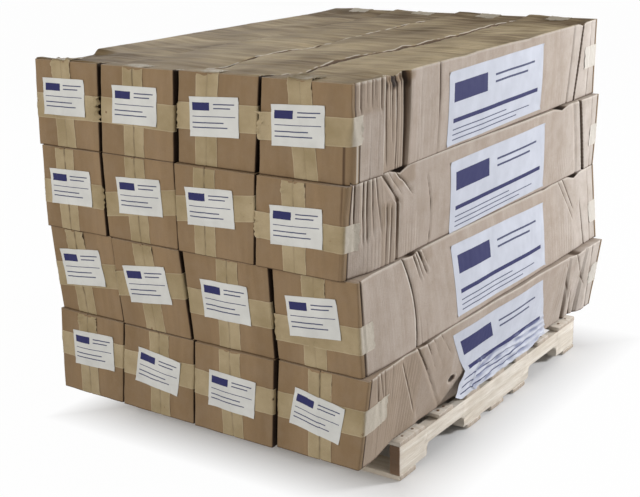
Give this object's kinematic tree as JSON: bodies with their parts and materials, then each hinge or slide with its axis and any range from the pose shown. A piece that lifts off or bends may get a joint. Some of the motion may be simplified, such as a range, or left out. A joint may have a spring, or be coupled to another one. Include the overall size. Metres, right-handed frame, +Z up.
{
  "type": "palletised carton load",
  "caption": "Block of long, slim corrugated cartons, taped and labelled at their ends, stacked lengthwise on a notched wooden stringer pallet.",
  "frame": {"origin": "on the floor under the centre of the pallet, on the underside of its middle bottom board", "axes": "+X to the labelled right side of the load, +Y along the cartons from the labelled front ends to the rear ends, +Z up"},
  "size_m": [1.1678, 1.6217, 1.1677],
  "materials": {
    "carton_board": "matt kraft corrugated board, weathered and creased",
    "paper_tape": "matt gummed kraft paper tape",
    "label_paper": "plain white paper label with a navy band",
    "pallet_wood": "rough sawn softwood"
  },
  "bodies": {
    "root": {"stringer_left": "pallet_wood", "stringer_middle": "pallet_wood", "stringer_right": "pallet_wood", "deck_board_1": "pallet_wood", "deck_board_2": "pallet_wood", "deck_board_3": "pallet_wood", "deck_board_4": "pallet_wood", "deck_board_5": "pallet_wood", "deck_board_6": "pallet_wood", "deck_board_7": "pallet_wood", "bottom_board_1": "pallet_wood", "bottom_board_2": "pallet_wood", "bottom_board_3": "pallet_wood", "bottom_board_4": "pallet_wood", "bottom_board_5": "pallet_wood", "carton_layer1_col1": "carton_board", "carton_layer1_col2": "carton_board", "carton_layer1_col3": "carton_board", "carton_layer1_col4": "carton_board", "carton_layer2_col1": "carton_board", "carton_layer2_col2": "carton_board", "carton_layer2_col3": "carton_board", "carton_layer2_col4": "carton_board", "carton_layer3_col1": "carton_board", "carton_layer3_col2": "carton_board", "carton_layer3_col3": "carton_board", "carton_layer3_col4": "carton_board", "carton_layer4_col1": "carton_board", "carton_layer4_col2": "carton_board", "carton_layer4_col3": "carton_board", "carton_layer4_col4": "carton_board", "front_seam_tape_layer1": "paper_tape", "front_cross_tape_layer1": "paper_tape", "rear_seam_tape_layer1": "paper_tape", "rear_cross_tape_layer1": "paper_tape", "front_label_layer1": "label_paper", "side_label_layer1": "label_paper", "front_seam_tape_layer2": "paper_tape", "front_cross_tape_layer2": "paper_tape", "rear_seam_tape_layer2": "paper_tape", "rear_cross_tape_layer2": "paper_tape", "front_label_layer2": "label_paper", "side_label_layer2": "label_paper", "front_seam_tape_layer3": "paper_tape", "front_cross_tape_layer3": "paper_tape", "rear_seam_tape_layer3": "paper_tape", "rear_cross_tape_layer3": "paper_tape", "front_label_layer3": "label_paper", "side_label_layer3": "label_paper", "front_seam_tape_layer4": "paper_tape", "front_cross_tape_layer4": "paper_tape", "rear_seam_tape_layer4": "paper_tape", "rear_cross_tape_layer4": "paper_tape", "front_label_layer4": "label_paper", "side_label_layer4": "label_paper"}
  },
  "joints": []
}
